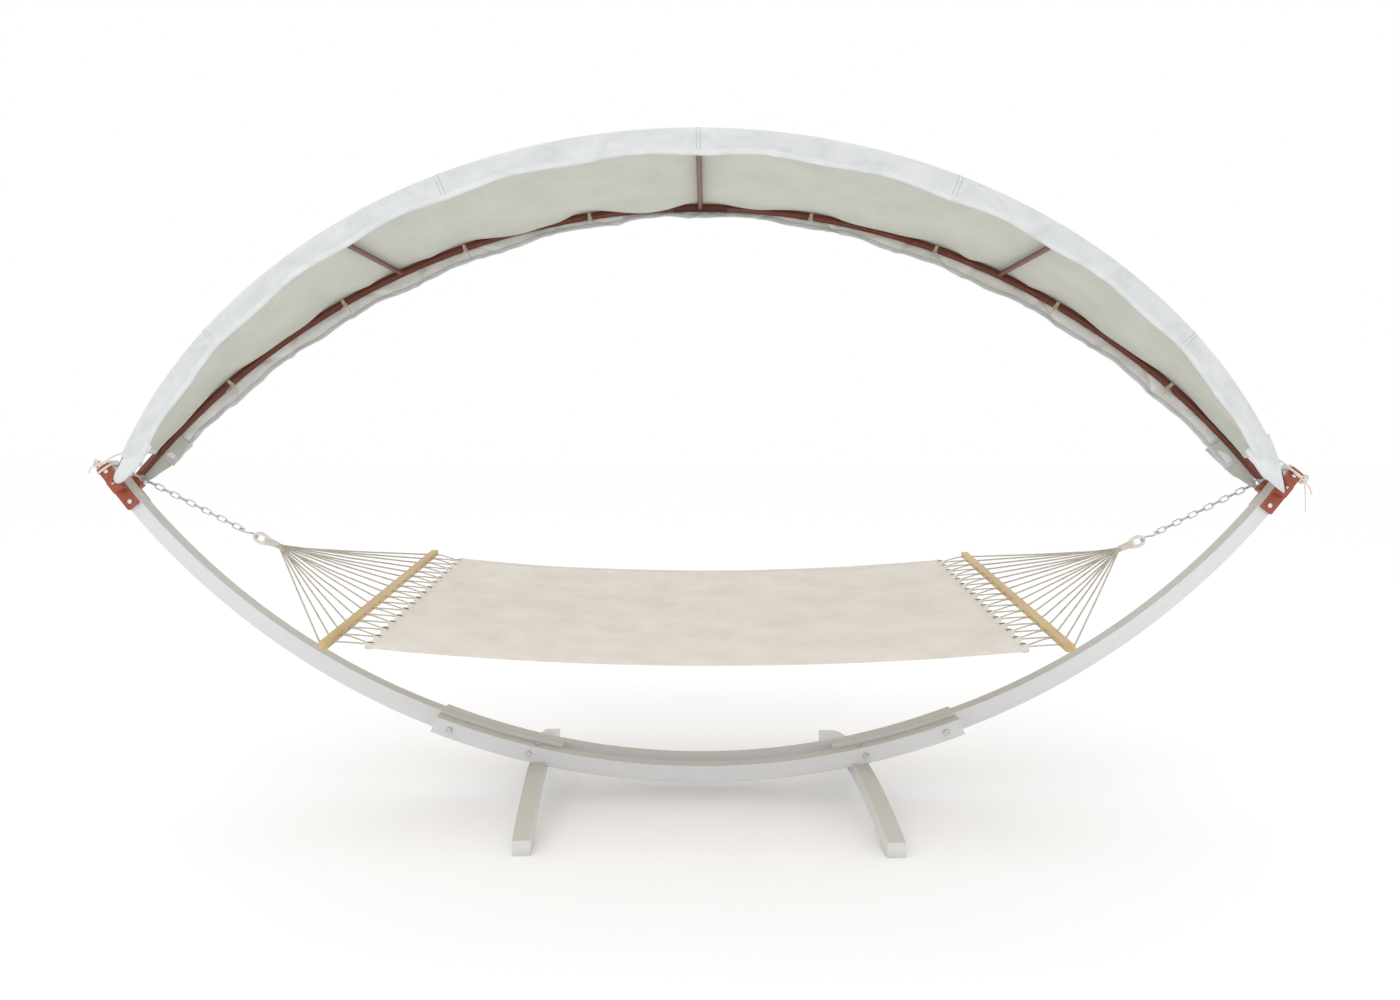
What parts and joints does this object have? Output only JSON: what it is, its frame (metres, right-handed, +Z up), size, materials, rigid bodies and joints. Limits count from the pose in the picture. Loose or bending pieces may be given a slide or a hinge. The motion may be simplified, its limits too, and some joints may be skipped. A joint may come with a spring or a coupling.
{
  "type": "hammock on stand",
  "caption": "Arched wooden stand on cross feet that carries a canvas hammock with spreader bars by chains, under an arched fabric canopy on ribs.",
  "frame": {"origin": "on the floor, midway between the feet and under the lowest point of the arched base", "axes": "+X along the length of the hammock, +Y towards the rear, +Z up"},
  "size_m": [3.9502, 1.2702, 2.0493],
  "materials": {
    "painted_wood": "white weatherproof paint on laminated softwood",
    "stained_wood": "red-brown stain, satin",
    "bar_wood": "clear varnish on light hardwood",
    "zinc_steel": "bright zinc plating",
    "rope": "twisted cotton cord, cream",
    "bed_canvas": "heavy woven canvas, natural",
    "canopy_cloth": "woven awning cloth, off-white"
  },
  "bodies": {
    "stand": {"front_base_beam": "painted_wood", "rear_base_beam": "painted_wood", "left_arm": "painted_wood", "right_arm": "painted_wood", "left_foot": "painted_wood", "right_foot": "painted_wood", "arm_bolts": "zinc_steel", "arm_bolt_washers": "zinc_steel", "arm_bolt_nuts": "zinc_steel", "foot_bolts": "zinc_steel", "foot_bolt_washers": "zinc_steel", "foot_bolt_nuts": "zinc_steel", "left_front_tip_plate": "stained_wood", "left_rear_tip_plate": "stained_wood", "right_front_tip_plate": "stained_wood", "right_rear_tip_plate": "stained_wood", "tip_bolts": "zinc_steel", "tip_bolt_nuts": "zinc_steel", "left_eye_bolt": "zinc_steel", "right_eye_bolt": "zinc_steel", "eye_bolt_washers": "zinc_steel", "eye_bolt_nuts": "zinc_steel", "front_rib_left": "stained_wood", "front_rib_right": "stained_wood", "rear_rib_left": "stained_wood", "rear_rib_right": "stained_wood", "rib_shoes": "stained_wood", "rib_shoe_screws": "zinc_steel", "rib_splices": "zinc_steel", "rib_splice_screws": "zinc_steel", "left_cross_bar": "stained_wood", "centre_cross_bar": "stained_wood", "right_cross_bar": "stained_wood", "cross_bar_screws": "zinc_steel", "canopy_cover": "canopy_cloth", "left_tie_band": "rope", "right_tie_band": "rope"},
    "suspension": {"left_chain": "zinc_steel", "right_chain": "zinc_steel", "left_hook": "zinc_steel", "right_hook": "zinc_steel"},
    "bed": {"left_rope_ring": "rope", "right_rope_ring": "rope", "left_fan_cords": "rope", "right_fan_cords": "rope", "left_spreader_bar": "bar_wood", "right_spreader_bar": "bar_wood", "left_hem_loops": "rope", "right_hem_loops": "rope", "hammock_bed": "bed_canvas"}
  },
  "joints": [
    {"name": "swing", "type": "hinge", "parent": "stand", "child": "suspension", "pos_m": [0, 0, 1.05398], "axis": [1, 0, 0], "range_deg": [-35, 35]},
    {"name": "bed_roll", "type": "hinge", "parent": "suspension", "child": "bed", "pos_m": [0, 0, 0.84605], "axis": [1, 0, 0], "range_deg": [-12, 12]}
  ]
}
